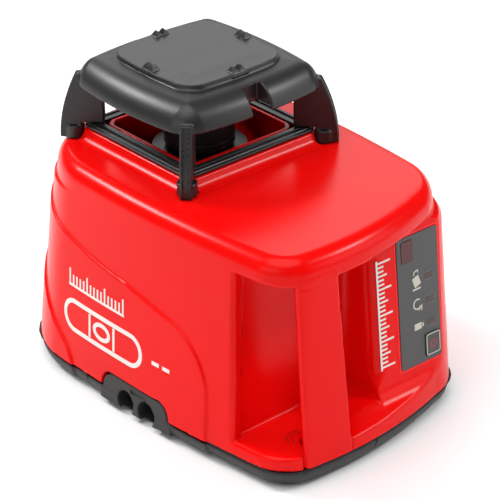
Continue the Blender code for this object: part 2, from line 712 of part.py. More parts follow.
def make_levelling(axis_name, direction):
    """One levelling drive: a motor standing under the chassis, its lead screw and the forked nut."""
    x, y = ROTOR_X + direction[0] * SCREW_AT, direction[1] * SCREW_AT
    motor = solid(f"level_motor_{axis_name}", disc(7.5, 40.0, 61.5, 20), "steel", at=(x, y, 0.0))
    cut(motor, disc(2.0, 50.0, 62.0, 12))
    screw = disc(1.5, 50.3, 97.0, 12)
    solid(f"level_screw_{axis_name}", screw, "steel", at=(x, y, 0.0))
    nut = solid(f"level_nut_{axis_name}", box((-5.0, -5.0, -5.5), (5.0, 5.0, 5.5)), "brass", at=(x, y, ARM_Z))
    cut(nut, disc(1.8, -6.0, 6.0, 12))
    fork = box((-9.5, -6.0, -5.5), (-4.0, 6.0, 5.5))
    slot = box((-11.0, -4.4, -2.9), (-2.6, 4.4, 2.9))
    if direction[1]:
        fork, slot = turned_about_z(fork, math.pi / 2), turned_about_z(slot, math.pi / 2)
    add(nut, fork)
    cut(nut, slot)


# Control panel ------------------------------------------------------------------------------------------


def on_panel(shape, y, z):
    """Places a shape drawn with its face in the YZ plane, pointing +X, at a height on the leaning panel."""
    bmesh.ops.rotate(shape, cent=(0, 0, 0), matrix=Matrix.Rotation(-PANEL_LEAN, 3, "Y"), verts=shape.verts)
    return moved(shape, panel_x(z), y, z)


def panel_plate(half_y, half_z, radius, low, high, steps=3):
    plate = prism(rounded(half_z, half_y, radius, steps), low, high)
    bmesh.ops.rotate(plate, cent=(0, 0, 0), matrix=Matrix.Rotation(math.pi / 2, 3, "Y"), verts=plate.verts)
    return plate


def make_panel():
    """A membrane label with a key, three light pipes and a sensor window set through it."""
    middle_y = (LABEL_Y[0] + LABEL_Y[1]) / 2
    middle_z = (LABEL_Z[0] + LABEL_Z[1]) / 2
    half_y = (LABEL_Y[1] - LABEL_Y[0]) / 2
    half_z = (LABEL_Z[1] - LABEL_Z[0]) / 2
    label = solid("panel_label", on_panel(panel_plate(half_y, half_z, 1.5, 0.3, 1.1), middle_y, middle_z), "label")
    openings = [("power_key", 48.0, 47.0, 5.6, 7.0, "key"), ("sensor_window", 31.0, 110.0, 4.3, 6.4, "red_glass")]
    openings += [(f"led_{name}", 47.5, z, 3.3, 1.9, "red_glass") for name, z in
                 (("tilt", 90.0), ("auto", 75.0), ("battery", 61.0))]
    housing = bpy.data.objects["upper_housing"]
    for name, y, z, wide, tall, colour in openings:
        depth = 8.0
        cut(label, on_panel(panel_plate(wide + GAP, tall + GAP, 1.2, -1.0, 3.0, 2), y, z))
        cut(housing, on_panel(panel_plate(wide + GAP, tall + GAP, 1.2, -depth, 3.0, 2), y, z))
        front = 1.9 if name == "power_key" else 1.3
        solid(name, on_panel(panel_plate(wide, tall, 1.0, -4.0, front, 2), y, z), colour)


def make_electronics():
    """The board, and what the battery case holds: charging socket, quarter-turn lock and cells."""
    solid("main_board", box((20.0, 12.0, 52.0), (74.0, 74.0, 53.6)), "board")
    jack = laid(pipe(5.6, 2.4, -3.5, 3.5, 20), "Y")
    solid("charge_socket", jack, "black", at=(PORTS_X[0], -77.4, PORT_Z))
    lock = solid("case_lock", laid(disc(4.6, -6.0, 6.0, 20), "Y"), "steel", at=(PORTS_X[1], -80.0, PORT_Z))
    cut(lock, box((-6.0, -7.0, -0.7), (6.0, -4.5, 0.7)))
    for index in range(4):
        x = -30.0 + (index // 2) * (CELL_LENGTH + 2.0)
        y = -57.4 + (index % 2) * (2 * CELL_R + 1.0)
        cell = laid(disc(CELL_R, 0.0, CELL_LENGTH, 20), "X")
        solid(f"battery_cell_{index + 1}", cell, "cell", at=(x, y, BASE_Z + 3.6 + CELL_R))


# Build --------------------------------------------------------------------------------------------------


def build():
    clear_scene()
    make_upper_housing()
    make_handle()
    make_base()
    make_battery_case()
    make_cage()
    make_ring()
    make_chassis()
    make_gimbal()
    make_carrier()
    make_head()
    make_drive()
    make_levelling("x", (1, 0))
    make_levelling("y", (0, 1))
    make_panel()
    make_electronics()


build()
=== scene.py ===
"""The looks of the rotating laser level: fine meshes, materials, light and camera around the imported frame.

Shapes are worked out in millimetres as distance fields, which are negative inside, in the frame's own axes.
Each field is then meshed.
"""

import json
import math

import bmesh
import bpy
import numpy as np
from mathutils import Matrix, Vector


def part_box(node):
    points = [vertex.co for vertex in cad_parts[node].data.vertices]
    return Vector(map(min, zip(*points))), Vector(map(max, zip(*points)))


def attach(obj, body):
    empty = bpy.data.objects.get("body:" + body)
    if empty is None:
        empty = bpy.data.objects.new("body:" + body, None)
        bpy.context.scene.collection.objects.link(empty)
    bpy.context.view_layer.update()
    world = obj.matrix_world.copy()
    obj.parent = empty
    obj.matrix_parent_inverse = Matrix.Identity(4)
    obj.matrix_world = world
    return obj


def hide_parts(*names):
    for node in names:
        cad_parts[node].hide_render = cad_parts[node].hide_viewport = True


MM = 0.001

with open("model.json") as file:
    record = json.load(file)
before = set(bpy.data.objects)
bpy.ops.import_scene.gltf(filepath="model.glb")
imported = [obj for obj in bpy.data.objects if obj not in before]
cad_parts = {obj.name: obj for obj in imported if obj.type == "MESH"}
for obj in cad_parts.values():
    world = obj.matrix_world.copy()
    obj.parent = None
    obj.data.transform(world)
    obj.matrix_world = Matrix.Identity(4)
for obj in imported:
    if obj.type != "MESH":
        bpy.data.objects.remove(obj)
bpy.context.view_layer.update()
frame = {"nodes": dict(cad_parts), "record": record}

# Driving dimensions, in millimetres ---------------------------------------------------------------------


def box_mm(node):
    low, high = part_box(node)
    return np.array(low) / MM, np.array(high) / MM


CAGE_LOW, CAGE_HIGH = box_mm("cage_frame")
ROTOR_X = (CAGE_LOW[0] + CAGE_HIGH[0]) / 2
PIVOT_Z = 96.0
BEAM_Z = 161.0

ROOF_Z, SHELL_Z, LIP_Z = 140.0, 12.1, 122.0
ROOF_HALF, LOW_HALF = 80.0, 87.0
ROOF_FRONT, LOW_FRONT = 119.0, 125.5
ROOF_REAR, LOW_REAR = 110.5, 125.5
WIDEST_X, SIDE_BOW = -18.0, 0.0006
ROOF_END_BOW, END_BOW, END_APEX = 0.0026, 0.0020, -28.0
NEAR_CORNER, FAR_CORNER, REAR_CORNER = 18.0, 24.0, 36.0
SHOULDER, WALL = 10.0, 3.0
PLINTH_HALF, PLINTH_Z, WELL_HALF, RIM_HALF = 51.5, 146.5, 37.0, 40.5
HAND_WALL_X, PAD_EDGE_Y, LEDGE_Z, OPENING_TOP = 79.5, 4.0, 20.5, 124.5
PANEL_TOP_X, PANEL_TOP_Z, PANEL_FOOT_Z = 103.0, 125.5, 27.0
PANEL_LEAN = math.radians(4.9)
PAD_FAR_Y = 59.5
LABEL_Y, LABEL_Z = (23.3, 54.8), (37.0, 119.0)
PARTING_X, GAP = 111.0, 0.3
BAND_Z, BASE_Z = 10.5, 1.2
CASE_X, CASE_Y = -42.0, -8.0
BUMP_X, BUMP_Z = (-26.0, 31.5), 22.0
PORTS_X, PORT_Z, PORT_R = (-5.0, 13.5), 9.2, 7.3
SKIRT_Z, CAP_HALF, CAP_BOW = 175.5, 58.0, 0.0018
BOSS_AT, BOSS_R = 52.0, 5.9
PLINTH_FOOT_Z, PLINTH_DRAFT, COLLAR_Z = 142.0, 0.35, 118.0
ROOF_EDGE_Z, DOME_TOP_Z, DOME_RISE, DOME_WALL = 188.4, 194.2, 0.17, 2.4
CAGE_PAD_HALF, CAGE_PAD_Z, SLOT_HALF, SLOT_TOP = 38.0, 194.9, 7.0, 189.3
FIN_OUTER, FIN_INNER, FIN_HALF, CAGE_FOOT_Z = 82.0, 55.5, 3.5, 140.3
SIGHT_AT, SIGHT_Z, SIGHT_HEIGHT = 34.5, 194.6, 3.7
FRAME_HALF, FRAME_HOLE, FRAME_Z = 49.5, 40.5, 148.05
HEAD_R, HEAD_BORE, SPINDLE_BORE = 21.0, 17.5, 5.6


# Distance fields ----------------------------------------------------------------------------------------


def both(a, b, r):
    """Where two shapes overlap, with their common edge rounded to radius r."""
    return np.minimum(np.maximum(a, b), -r) + np.hypot(np.maximum(a + r, 0), np.maximum(b + r, 0))


def either(a, b, r):
    """Two shapes together, with a fillet of radius r between them."""
    return -both(-a, -b, r)


def less(a, b, r):
    """The first shape without the second, with the new edge rounded to radius r."""
    return both(a, -b, r)


def ramp(t):
    """0 below 0, 1 above 1, and a smooth rise between."""
    t = np.clip(t, 0.0, 1.0)
    return t * t * (3.0 - 2.0 * t)


def square(u, v, half, r):
    """A rounded square."""
    a, b = np.abs(u) - half + r, np.abs(v) - half + r
    return np.hypot(np.maximum(a, 0), np.maximum(b, 0)) + np.minimum(np.maximum(a, b), 0) - r


def slab(v, low, high):
    """The room between two parallel planes."""
    return np.abs(v - (low + high) / 2) - (high - low) / 2


def plan(x, y, z):
    """The housing's bowed outline at each height: it widens steadily from the roof down."""
    drop = (ROOF_Z - z) / (ROOF_Z - SHELL_Z)
    along = x - WIDEST_X
    side = np.abs(y) - (ROOF_HALF + (LOW_HALF - ROOF_HALF) * drop) + SIDE_BOW * along**2
    side = side / np.sqrt(1 + (2 * SIDE_BOW * along) ** 2)
    bow = END_BOW + (ROOF_END_BOW - END_BOW) * ramp((z - LIP_Z) / 2.5)
    front = x - (ROOF_FRONT + (LOW_FRONT - ROOF_FRONT) * drop) + bow * (y - END_APEX) ** 2
    front = front / np.sqrt(1 + (2 * bow * (y - END_APEX)) ** 2)
    rear = -x - (ROOF_REAR + (LOW_REAR - ROOF_REAR) * drop) + bow * y**2
    rear = rear / np.sqrt(1 + (2 * bow * y) ** 2)
    corner = np.where(y < 0, NEAR_CORNER, FAR_CORNER)
    return np.maximum(both(front, side, corner), both(rear, side, REAR_CORNER))


def proud(x, y, z):
    """How far the skin stands out: below the long arch, below the rear arch and beside the panel."""
    ahead, behind = np.maximum(x + 6.0, 0), np.maximum(-6.0 - x, 0)
    arch_top = 87.5 - 0.22 * ahead + 0.07 * behind + 0.0018 * behind**2
    arch = both(z - arch_top, x - 64.0, 32.0)
    rear_arch = both((z - 22.0 + 0.86 * (x + 58.0)) / 1.32, x + 52.0, 12.0)
    far_end = ramp((LIP_Z + 1.0 - z) / 5.0) * ramp((y - 48.0) / 26.0) * ramp((x - 30.0) / 50.0)
    return 1.5 * ramp(-arch / 1.6) + 1.6 * ramp(-rear_arch / 2.2) + 2.4 * far_end


def skin(x, y, z):
    return plan(x, y, z) - proud(x, y, z)


def handle_section(x, y, z):
    """The handle's blunt wedge section, which leans a little towards the panel on its way down."""
    corners = [(135.0, -76.5), (104.5, -53.1), (102.0, -46.0), (104.0, -39.0), (119.0, -33.5), (135.0, -32.5)]
    y = y - 5.5 * (OPENING_TOP - z) / (OPENING_TOP - SHELL_Z)
    field = x - 140.0
    for (x1, y1), (x2, y2) in zip(corners, corners[1:]):
        size = math.hypot(x2 - x1, y2 - y1)
        out = ((y2 - y1) / size, -(x2 - x1) / size)
        edge = -(out[0] * (x - x1) + out[1] * (y - y1))
        field = both(field, edge, 2.0)
    return field


def panel_x(z):
    return PANEL_TOP_X + (PANEL_TOP_Z - z) * math.tan(PANEL_LEAN)


def ledge_top(x, y):
    """The ledge: level round the handle, and rising to the panel's foot, from where it slopes outwards."""
    rise = PANEL_FOOT_Z - LEDGE_Z
    return LEDGE_Z + ramp((y + 34.0) / 34.0) * np.minimum(rise, rise - 0.5 * (x - panel_x(PANEL_FOOT_Z)))


def hand_space(x, y, z):
    """The room around the handle, with soft inner corners and the side skin's lip left standing."""
    lip = 83.0 - 3.5 * (z - LEDGE_Z) / (OPENING_TOP - LEDGE_Z)
    space = both(HAND_WALL_X - x, y - PAD_EDGE_Y, 10.0)
    space = both(space, 0.95 * (ledge_top(x, y) - z), 1.6)
    space = both(space, z - OPENING_TOP, 1.5)
    return both(space, -np.maximum(-skin(x, y, z) - 7.0, x - lip), 1.2)


def panel_space(x, y, z):
    """The recess in front of the panel: a raised pad holds the label, and the ledge below slopes outwards."""
    slope = 0.92 * (ledge_top(x, y) - z)
    face = panel_x(z) + 0.9 * ramp((PAD_FAR_Y - y) / 1.6) - 0.4 - x
    space = both(face, slope, 6.0)
    space = both(space, z - PANEL_TOP_Z, 1.5)
    return both(space, -8.0 - y, 1.0)


PANEL_HOLES = {
    "power_key": (48.0, 47.0, 5.6, 7.0),
    "sensor_window": (31.0, 110.0, 4.3, 6.4),
    "led_tilt": (47.5, 90.0, 3.3, 1.9),
    "led_auto": (47.5, 75.0, 3.3, 1.9),
    "led_battery": (47.5, 61.0, 3.3, 1.9),
}


def bump(x, z, grow):
    """The rise of the base around the ports, seen from the side."""
    sides = slab(x, BUMP_X[0] - grow, BUMP_X[1] + grow)
    crown = both(sides, z - BUMP_Z - grow, 9.0)
    foot = np.maximum(slab(x, BUMP_X[0] - 3.0 - grow, BUMP_X[1] + 3.0 + grow), z - BAND_Z - grow)
    return either(crown, foot, 3.0)


def housing(x, y, z):
    """The red moulding: bowed skin, plinth and well, hand and panel recesses, and the handle's front half."""
    u, v = x - ROTOR_X, y
    body = both(skin(x, y, z), z - ROOF_Z, SHOULDER)
    spread = PLINTH_DRAFT * (PLINTH_FOOT_Z - np.maximum(z, PLINTH_FOOT_Z - 6.0))
    plinth = both(square(u, v, PLINTH_HALF + spread, 7.0), z - PLINTH_Z, 1.4)
    body = either(body, np.maximum(plinth, PLINTH_FOOT_Z - 8.0 - z), 5.0)
    rim = both(square(u, v, RIM_HALF - 0.4, 8.0), z - PLINTH_Z - 2.4, 0.9)
    body = np.minimum(body, np.maximum(rim, ROOF_Z - z))
    hollow = both(plan(x, y, z) + WALL, z - ROOF_Z + WALL, SHOULDER - WALL)
    behind_wall = np.maximum(HAND_WALL_X - WALL - x, y - PAD_EDGE_Y - 2 * WALL)
    hollow = np.maximum(np.maximum(hollow, -behind_wall), x - PANEL_TOP_X + WALL)
    collar = np.maximum(square(u, v, WELL_HALF + WALL, 8.0), COLLAR_Z - z)
    hollow = np.maximum(hollow, -collar)
    body = np.maximum(body, -hollow)
    body = less(body, np.maximum(square(u, v, WELL_HALF, 6.0), 100.0 - z), 0.8)
    pad_round = 1.0 + 8.0 * ramp((120.0 - z) / 10.0) * ramp((z - 30.0) / 14.0)
    kept = both(-hand_space(x, y, z), -panel_space(x, y, z), pad_round)
    body = both(body, kept, 1.3 + 1.6 * ramp((-66.0 - y) / 6.0))
    section, outside = handle_section(x, y, z), skin(x, y, z)
    grip = both(section, outside, 1.2 + 2.8 * ramp((-50.0 - y) / 8.0))
    grip = both(grip, PARTING_X + GAP / 2 - x, 0.5)
    foot_slot = np.maximum(np.maximum(section - GAP - 0.25, z - LEDGE_Z - 6.0), -outside - 30.0)
    body = less(body, foot_slot, 0.5)
    body = either(body, np.maximum(grip, z - ROOF_Z + SHOULDER + 2.0), 1.2)
    body = less(body, np.maximum(bump(x, z, 0.9), y + 70.0), 0.6)
    corner = np.hypot(np.abs(u) - BOSS_AT, np.abs(v) - BOSS_AT)
    body = less(body, np.maximum(corner - BOSS_R - 0.5, ROOF_Z + 0.05 - z), 0.5)
    body = less(body, np.maximum(corner - 1.9, 125.0 - z), 0.2)
    for hole_y, hole_z, wide, tall in PANEL_HOLES.values():
        hole = both(np.abs(y - hole_y) - wide - GAP, np.abs(z - hole_z) - tall - GAP, 1.0)
        body = np.maximum(body, -np.maximum(hole, 90.0 - x))
    return both(body, SHELL_Z - z, 0.5)


def rear_grip(x, y, z):
    """The rear half of the handle, behind the parting line."""
    grip = both(both(handle_section(x, y, z), skin(x, y, z), 2.2), x - PARTING_X + GAP / 2, 0.5)
    return both(grip, np.abs(z - (SHELL_Z + OPENING_TOP) / 2) - (OPENING_TOP - SHELL_Z) / 2 + GAP, 0.5)


def base_body(x, y, z):
    """The dark base: the edge turns in towards the ground, with scalloped grips along it."""
    rise = np.clip((BAND_Z - z) / (BAND_Z - BASE_Z), 0, 1.2)
    level = np.full_like(z, SHELL_Z)
    body = plan(x, y, level) - proud(x, y, level) + 0.6 + 5.2 * rise**2.2
    body = both(both(body, BASE_Z - z, 1.0), z - BAND_Z, 0.5)
    for notch_x in (-92.0, -58.0, 40.0, 66.0, 98.0):
        notch = np.hypot((x - notch_x) / 1.3, (z - BASE_Z) * 1.2) - 3.4
        body = less(body, np.maximum(notch, 74.0 - 0.0006 * (x + 18.0) ** 2 + 6.0 - np.abs(y)), 0.6)
    inside = np.maximum(plan(x, y, level) + 8.0, BASE_Z + 3.0 - z)
    return np.maximum(body, -inside)


def case_zone(x, y, margin):
    """The corner of the base that the battery case fills."""
    return np.maximum(CASE_X - margin - x, y - CASE_Y - margin)


def base_shell(x, y, z):
    """The base without its battery case, with a sleeve under the rotor."""
    body = less(base_body(x, y, z), case_zone(x, y, GAP), 0.5)
    reach = np.hypot(x - ROTOR_X, y)
    body = np.minimum(body, both(reach - 16.0, np.abs(z - 8.6) - 7.4, 0.6))
    return less(body, reach - 13.0, 0.4)


def battery_case(x, y, z):
    """The corner of the base that comes off, with the bump that holds the ports."""
    body = both(base_body(x, y, z), case_zone(x, y, -GAP), 0.5)
    body = less(body, np.hypot(x - ROTOR_X, y) - 16.6, 0.4)
    ports = both(skin(x, y, z) + 0.5, y + 71.2, 0.5)
    ports = both(ports, bump(x, z, -0.1), 0.7)
    body = either(body, np.maximum(ports, 3.4 - z), 1.0)
    for port_x in PORTS_X:
        reach = np.hypot(x - port_x, z - PORT_Z)
        body = less(body, np.maximum(reach - PORT_R, y + 73.5), 0.7)
    middle = (PORTS_X[0] + PORTS_X[1]) / 2
    plate = np.maximum(both(np.abs(x - middle - 2.0) - 6.5, np.abs(z - 18.4) - 1.4, 0.6), y + 74.0)
    return less(body, np.maximum(plate, -skin(x, y, z) - 1.6), 0.3)


def cage(x, y, z):
    """The guard cage: dome, diagonal posts with screw bosses, sights and a slot in each end of the skirt."""
    u, v = x - ROTOR_X, y
    side_u = np.abs(u) - CAP_HALF + CAP_BOW * v**2
    side_v = np.abs(v) - CAP_HALF + CAP_BOW * u**2
    side = both(side_u, side_v, 13.0)
    roof = z - np.minimum(ROOF_EDGE_Z + DOME_RISE * np.clip(-side, 0, 60), DOME_TOP_Z)
    dome = both(side, roof * 0.985, 14.0)
    shell = both(np.maximum(dome, -(dome + DOME_WALL)), SKIRT_Z - z, 0.6)
    pad_u = np.abs(u) - CAGE_PAD_HALF + CAP_BOW * v**2
    pad_v = np.abs(v) - CAGE_PAD_HALF + CAP_BOW * u**2
    pad = both(both(both(pad_u, pad_v, 11.0), z - CAGE_PAD_Z, 0.7), 188.0 - z, 0.5)
    shell = either(shell, pad, 0.4 + 1.8 * ramp((u + 8.0) / 42.0))
    niche = np.maximum(np.maximum(np.abs(v) - SLOT_HALF - 1.8, 43.0 - np.abs(u)), SKIRT_Z + 2.0 - z)
    shell = np.minimum(shell, both(dome + 1.2, niche, 0.5))
    slot = both(both(np.abs(v) - SLOT_HALF, z - SLOT_TOP, 1.0), 44.8 - np.abs(u), 1.0)
    shell = less(shell, slot, 1.1)
    radial, across = (np.abs(u) + np.abs(v)) / math.sqrt(2), (np.abs(u) - np.abs(v)) / math.sqrt(2)
    outer = radial - FIN_OUTER + 0.0062 * (z - CAGE_FOOT_Z) ** 2
    web = both(np.abs(across) - FIN_HALF, outer, 0.9)
    web = both(web, FIN_INNER - radial, 0.9)
    web = less(web, np.maximum(radial - 69.0, z - 149.8), 0.8)
    groove = np.maximum(np.abs(across) - 1.7, -outer - 0.7)
    web = less(web, groove, 0.4)
    web = both(both(web, CAGE_FOOT_Z - z, 0.4), z - 181.0, 0.4)
    corner = np.hypot(np.abs(u) - BOSS_AT, np.abs(v) - BOSS_AT)
    boss = both(corner - BOSS_R, np.abs(z - 144.3) - 4.0, 0.6)
    boss = less(boss, np.maximum(corner - 4.4, 146.8 - z), 0.5)
    body = either(shell, web, 1.0)
    body = either(body, boss, 0.5)
    body = np.maximum(body, -np.maximum(corner - 1.8, z - 145.5))
    for across_u, along_v in ((u, v), (v, u)):
        height = z - SIGHT_Z
        thick = np.abs(np.abs(across_u) - SIGHT_AT) - 3.2 + 0.55 * height
        tooth = both(thick, np.abs(along_v) - 5.0 + 0.62 * height, 0.5)
        tooth = both(tooth, height - SIGHT_HEIGHT, 0.4)
        tooth = np.maximum(tooth, -height - 2.0)
        tooth = less(tooth, np.maximum(np.abs(along_v) - 0.35 - 0.5 * np.maximum(height, 0), -height), 0.3)
        body = either(body, tooth, 0.3)
    return body


def port_fitting(x, y, z, port_x, core):
    """What stands deep in a round port: a plug with a slot across it, or a socket with a pin."""
    reach = np.hypot(x - port_x, z - PORT_Z)
    body = both(reach - core, np.abs(y + 77.2) - 3.2, 0.5)
    if core < 5.0:
        return less(body, np.maximum(np.abs(z - PORT_Z) - 0.7, y + 78.6), 0.2)
    body = less(body, np.maximum(reach - 3.6, y + 76.0), 0.4)
    return np.minimum(body, both(reach - 1.0, np.abs(y + 77.4) - 2.6, 0.3))


def case_lock(x, y, z):
    return port_fitting(x, y, z, PORTS_X[1], 4.6)


def charge_socket(x, y, z):
    return port_fitting(x, y, z, PORTS_X[0], 5.5)


def cage_frame(x, y, z):
    """The square frame under the cage, with a groove round it and a lower edge outside."""
    u, v = x - ROTOR_X, y
    ring = less(square(u, v, FRAME_HALF, 6.5), square(u, v, FRAME_HOLE, 3.0), 0.2)
    ring = both(ring, np.abs(z - FRAME_Z) - 1.25, 0.6)
    groove = np.abs(square(u, v, 45.2, 4.5)) - 1.05
    lower_strip = -square(u, v, 47.3, 5.0)
    ring = less(ring, np.maximum(groove, 147.8 - z), 0.3)
    return less(ring, np.maximum(lower_strip, 148.6 - z), 0.4)


def rotor_head(x, y, z):
    """The spinning head: a cup, with a groove near its foot and a window at each end of x for the beam."""
    reach = np.hypot(x - ROTOR_X, y)
    level = z - PIVOT_Z
    head = both(reach - HEAD_R, np.abs(level - 59.5) - 16.5, 1.2)
    head = less(head, np.maximum(reach - HEAD_BORE, 49.0 - level), 0.5)
    head = less(head, np.maximum(reach - SPINDLE_BORE, level - 50.0), 0.3)
    ribs = np.abs(level - 48.5) - 0.5
    head = less(head, np.maximum(ribs, 20.3 - reach), 0.3)
    window = both(np.abs(y) - 7.0, np.abs(z - BEAM_Z) - 6.0, 1.2)
    return less(head, np.maximum(window, 10.0 - np.abs(x - ROTOR_X)), 0.6)


# Meshing ------------------------------------------------------------------------------------------------


def sampled(field, axes, shape):
    """The field on a grid, worked out a few layers at a time."""
    values = np.empty(shape, np.float32)
    x = axes[0][:, None, None]
    y = axes[1][None, :, None]
    for start in range(0, shape[2], 12):
        z = axes[2][None, None, start : start + 12]
        grid = np.broadcast_arrays(x, y, z)
        values[:, :, start : start + 12] = field(*[part.astype(np.float32) for part in grid])
    return values


def gradient(field, points, reach=0.05):
    """The field's direction of steepest rise at each point."""
    columns = []
    for axis in range(3):
        step = np.zeros(3)
        step[axis] = reach
        ahead, back = points + step, points - step
        columns.append((field(*ahead.T) - field(*back.T)) / (2 * reach))
    return np.stack(columns, axis=1)


def surface_net(field, low, high, step):
    """Points and quads of the field's zero surface. Each point is then drawn onto the surface itself."""
    counts = [int(math.ceil((b - a) / step)) + 1 for a, b in zip(low, high)]
    axes = [a + step * np.arange(n) for a, n in zip(low, counts)]
    values = sampled(field, axes, counts)
    inside = values < 0
    corners = [(i, j, k) for i in (0, 1) for j in (0, 1) for k in (0, 1)]

    def corner_of(grid, corner):
        return grid[tuple(slice(c, n - 1 + c) for c, n in zip(corner, grid.shape))]

    filled = sum(corner_of(inside, corner).astype(np.int8) for corner in corners)
    cells = np.argwhere((filled > 0) & (filled < 8))
    number = np.full([n - 1 for n in counts], -1, np.int64)
    number[tuple(cells.T)] = np.arange(len(cells))
    total, hits = np.zeros((len(cells), 3)), np.zeros(len(cells))
    for corner in corners:
        for axis in range(3):
            if corner[axis]:
                continue
            other = tuple(c + (axis == i) for i, c in enumerate(corner))
            first = corner_of(values, corner)[tuple(cells.T)]
            second = corner_of(values, other)[tuple(cells.T)]
            crossed = (first < 0) != (second < 0)
            share = np.where(crossed, first / np.where(crossed, first - second, 1), 0)
            place = np.tile(np.array(corner, float), (len(cells), 1))
            place[:, axis] = share
            total += place * crossed[:, None]
            hits += crossed
    points = np.array([axis[0] for axis in axes]) + step * (cells + total / hits[:, None])
    quads = []
    for axis in range(3):
        b, c = (axis + 1) % 3, (axis + 2) % 3
        first = [slice(1, n - 1) for n in counts]
        second = list(first)
        first[axis], second[axis] = slice(0, counts[axis] - 1), slice(1, counts[axis])
        before, after = inside[tuple(first)], inside[tuple(second)]
        edges = np.argwhere(before != after)
        leaving = before[tuple(edges.T)]
        edges += [0 if i == axis else 1 for i in range(3)]
        ring = []
        for shift_b, shift_c in ((1, 1), (0, 1), (0, 0), (1, 0)):
            cell = edges.copy()
            cell[:, b] -= shift_b
            cell[:, c] -= shift_c
            ring.append(number[tuple(cell.T)])
        ring = np.stack(ring, axis=1)
        ring[~leaving] = ring[~leaving][:, ::-1]
        quads.append(ring)
    for _ in range(3):
        slope = gradient(field, points)
        size = np.maximum((slope**2).sum(axis=1), 0.25)
        move = (field(*points.T) / size)[:, None] * slope
        points -= np.clip(move, -0.4 * step, 0.4 * step)
    return points, np.concatenate(quads)


def mesh_object(name, points, faces, normals=None):
    mesh = bpy.data.meshes.new(name)
    mesh.from_pydata([tuple(point) for point in np.asarray(points) * MM], [], [tuple(face) for face in faces])
    mesh.validate()
    mesh.shade_smooth()
    if normals is not None:
        mesh.normals_split_custom_set_from_vertices(normals)
    obj = bpy.data.objects.new(name, mesh)
    bpy.context.scene.collection.objects.link(obj)
    return obj


def from_field(name, field, low, high, step):
    points, faces = surface_net(field, low, high, step)
    slope = gradient(field, points, 0.12)
    normals = slope / np.maximum(np.linalg.norm(slope, axis=1), 1e-6)[:, None]
    return mesh_object(name, points, faces, normals)


# Materials ----------------------------------------------------------------------------------------------


def plastic(name, colour, roughness, grain=(900.0, 0.04), shade=0.06, **sockets):
    """A moulded material: a fine grain in its relief and gloss, and a slow drift in its colour."""
    made = bpy.data.materials.new(name)
    made.use_nodes = True
    nodes, links = made.node_tree.nodes, made.node_tree.links
    shader = nodes["Principled BSDF"]
    for socket, value in sockets.items():
        shader.inputs[socket.replace("_", " ")].default_value = value
    place = nodes.new("ShaderNodeTexCoord")
    drift = nodes.new("ShaderNodeTexNoise")
    drift.inputs["Scale"].default_value = 14.0
    drift.inputs["Detail"].default_value = 3.0
    tint = nodes.new("ShaderNodeValToRGB")
    tint.color_ramp.elements[0].position, tint.color_ramp.elements[1].position = 0.3, 0.7
    tint.color_ramp.elements[0].color = (*[value * (1 - shade) for value in colour], 1)
    tint.color_ramp.elements[1].color = (*[min(value * (1 + shade), 1) for value in colour], 1)
    fine = nodes.new("ShaderNodeTexNoise")
    fine.inputs["Scale"].default_value = grain[0]
    fine.inputs["Detail"].default_value = 4.0
    gloss = nodes.new("ShaderNodeMapRange")
    gloss.inputs["To Min"].default_value = roughness * 0.88
    gloss.inputs["To Max"].default_value = min(roughness * 1.12, 1.0)
    relief = nodes.new("ShaderNodeBump")
    relief.inputs["Strength"].default_value = grain[1]
    relief.inputs["Distance"].default_value = 0.0004
    for noise in (drift, fine):
        links.new(place.outputs["Object"], noise.inputs["Vector"])
    links.new(drift.outputs["Fac"], tint.inputs["Fac"])
    links.new(tint.outputs["Color"], shader.inputs["Base Color"])
    links.new(fine.outputs["Fac"], gloss.inputs["Value"])
    links.new(gloss.outputs["Result"], shader.inputs["Roughness"])
    links.new(fine.outputs["Fac"], relief.inputs["Height"])
    links.new(relief.outputs["Normal"], shader.inputs["Normal"])
    return made


MATERIALS = {
    "red_plastic": plastic("red_plastic", (0.80, 0.0022, 0.0016), 0.24, (700.0, 0.02), 0.03,
                           Specular_IOR_Level=0.15),
    "black_plastic": plastic("black_plastic", (0.014, 0.014, 0.015), 0.38, (1500.0, 0.10), 0.10),
    "grey_plastic": plastic("grey_plastic", (0.017, 0.018, 0.018), 0.50, (1600.0, 0.16), 0.08),
    "label_film": plastic("label_film", (0.062, 0.062, 0.064), 0.42, (2200.0, 0.08), 0.03),
    "indicator_plastic": plastic("indicator_plastic", (0.090, 0.006, 0.010), 0.18, (900.0, 0.02), 0.1),
    "key_rubber": plastic("key_rubber", (0.062, 0.062, 0.064), 0.50, (1800.0, 0.10), 0.03),
    "rubber": plastic("rubber", (0.010, 0.010, 0.010), 0.72, (1400.0, 0.20), 0.15),
    "steel": plastic("steel", (0.52, 0.52, 0.53), 0.30, (600.0, 0.05), 0.06, Metallic=1.0),
    "aluminium": plastic("aluminium", (0.62, 0.63, 0.65), 0.36, (500.0, 0.06), 0.05, Metallic=1.0),
    "brass": plastic("brass", (0.70, 0.50, 0.20), 0.30, (500.0, 0.05), 0.06, Metallic=1.0),
    "optical_glass": plastic("optical_glass", (0.80, 0.90, 0.88), 0.04, (300.0, 0.0), 0.02,
                             Transmission_Weight=0.85),
    "circuit_board": plastic("circuit_board", (0.02, 0.16, 0.06), 0.35, (900.0, 0.08), 0.10),
    "cell_sleeve": plastic("cell_sleeve", (0.08, 0.18, 0.36), 0.28, (700.0, 0.03), 0.06, Metallic=0.2),
}
DIM_INK = plastic("dim_ink", (0.20, 0.19, 0.18), 0.5, (1500.0, 0.06), 0.04)
# Painted shadow: the dark red that stands for the shade in the ledge's fine grooves.
GROOVE_SHADOW_RED = plastic("painted_groove_shadow", (0.16, 0.002, 0.002), 0.5, (900.0, 0.03), 0.03)
DIM_RED = plastic("dim_red", (0.16, 0.020, 0.022), 0.5, (1500.0, 0.06), 0.04)
BRIGHT_RED = plastic("bright_red", (0.92, 0.004, 0.006), 0.32, (900.0, 0.03), 0.02, Specular_IOR_Level=0.3)
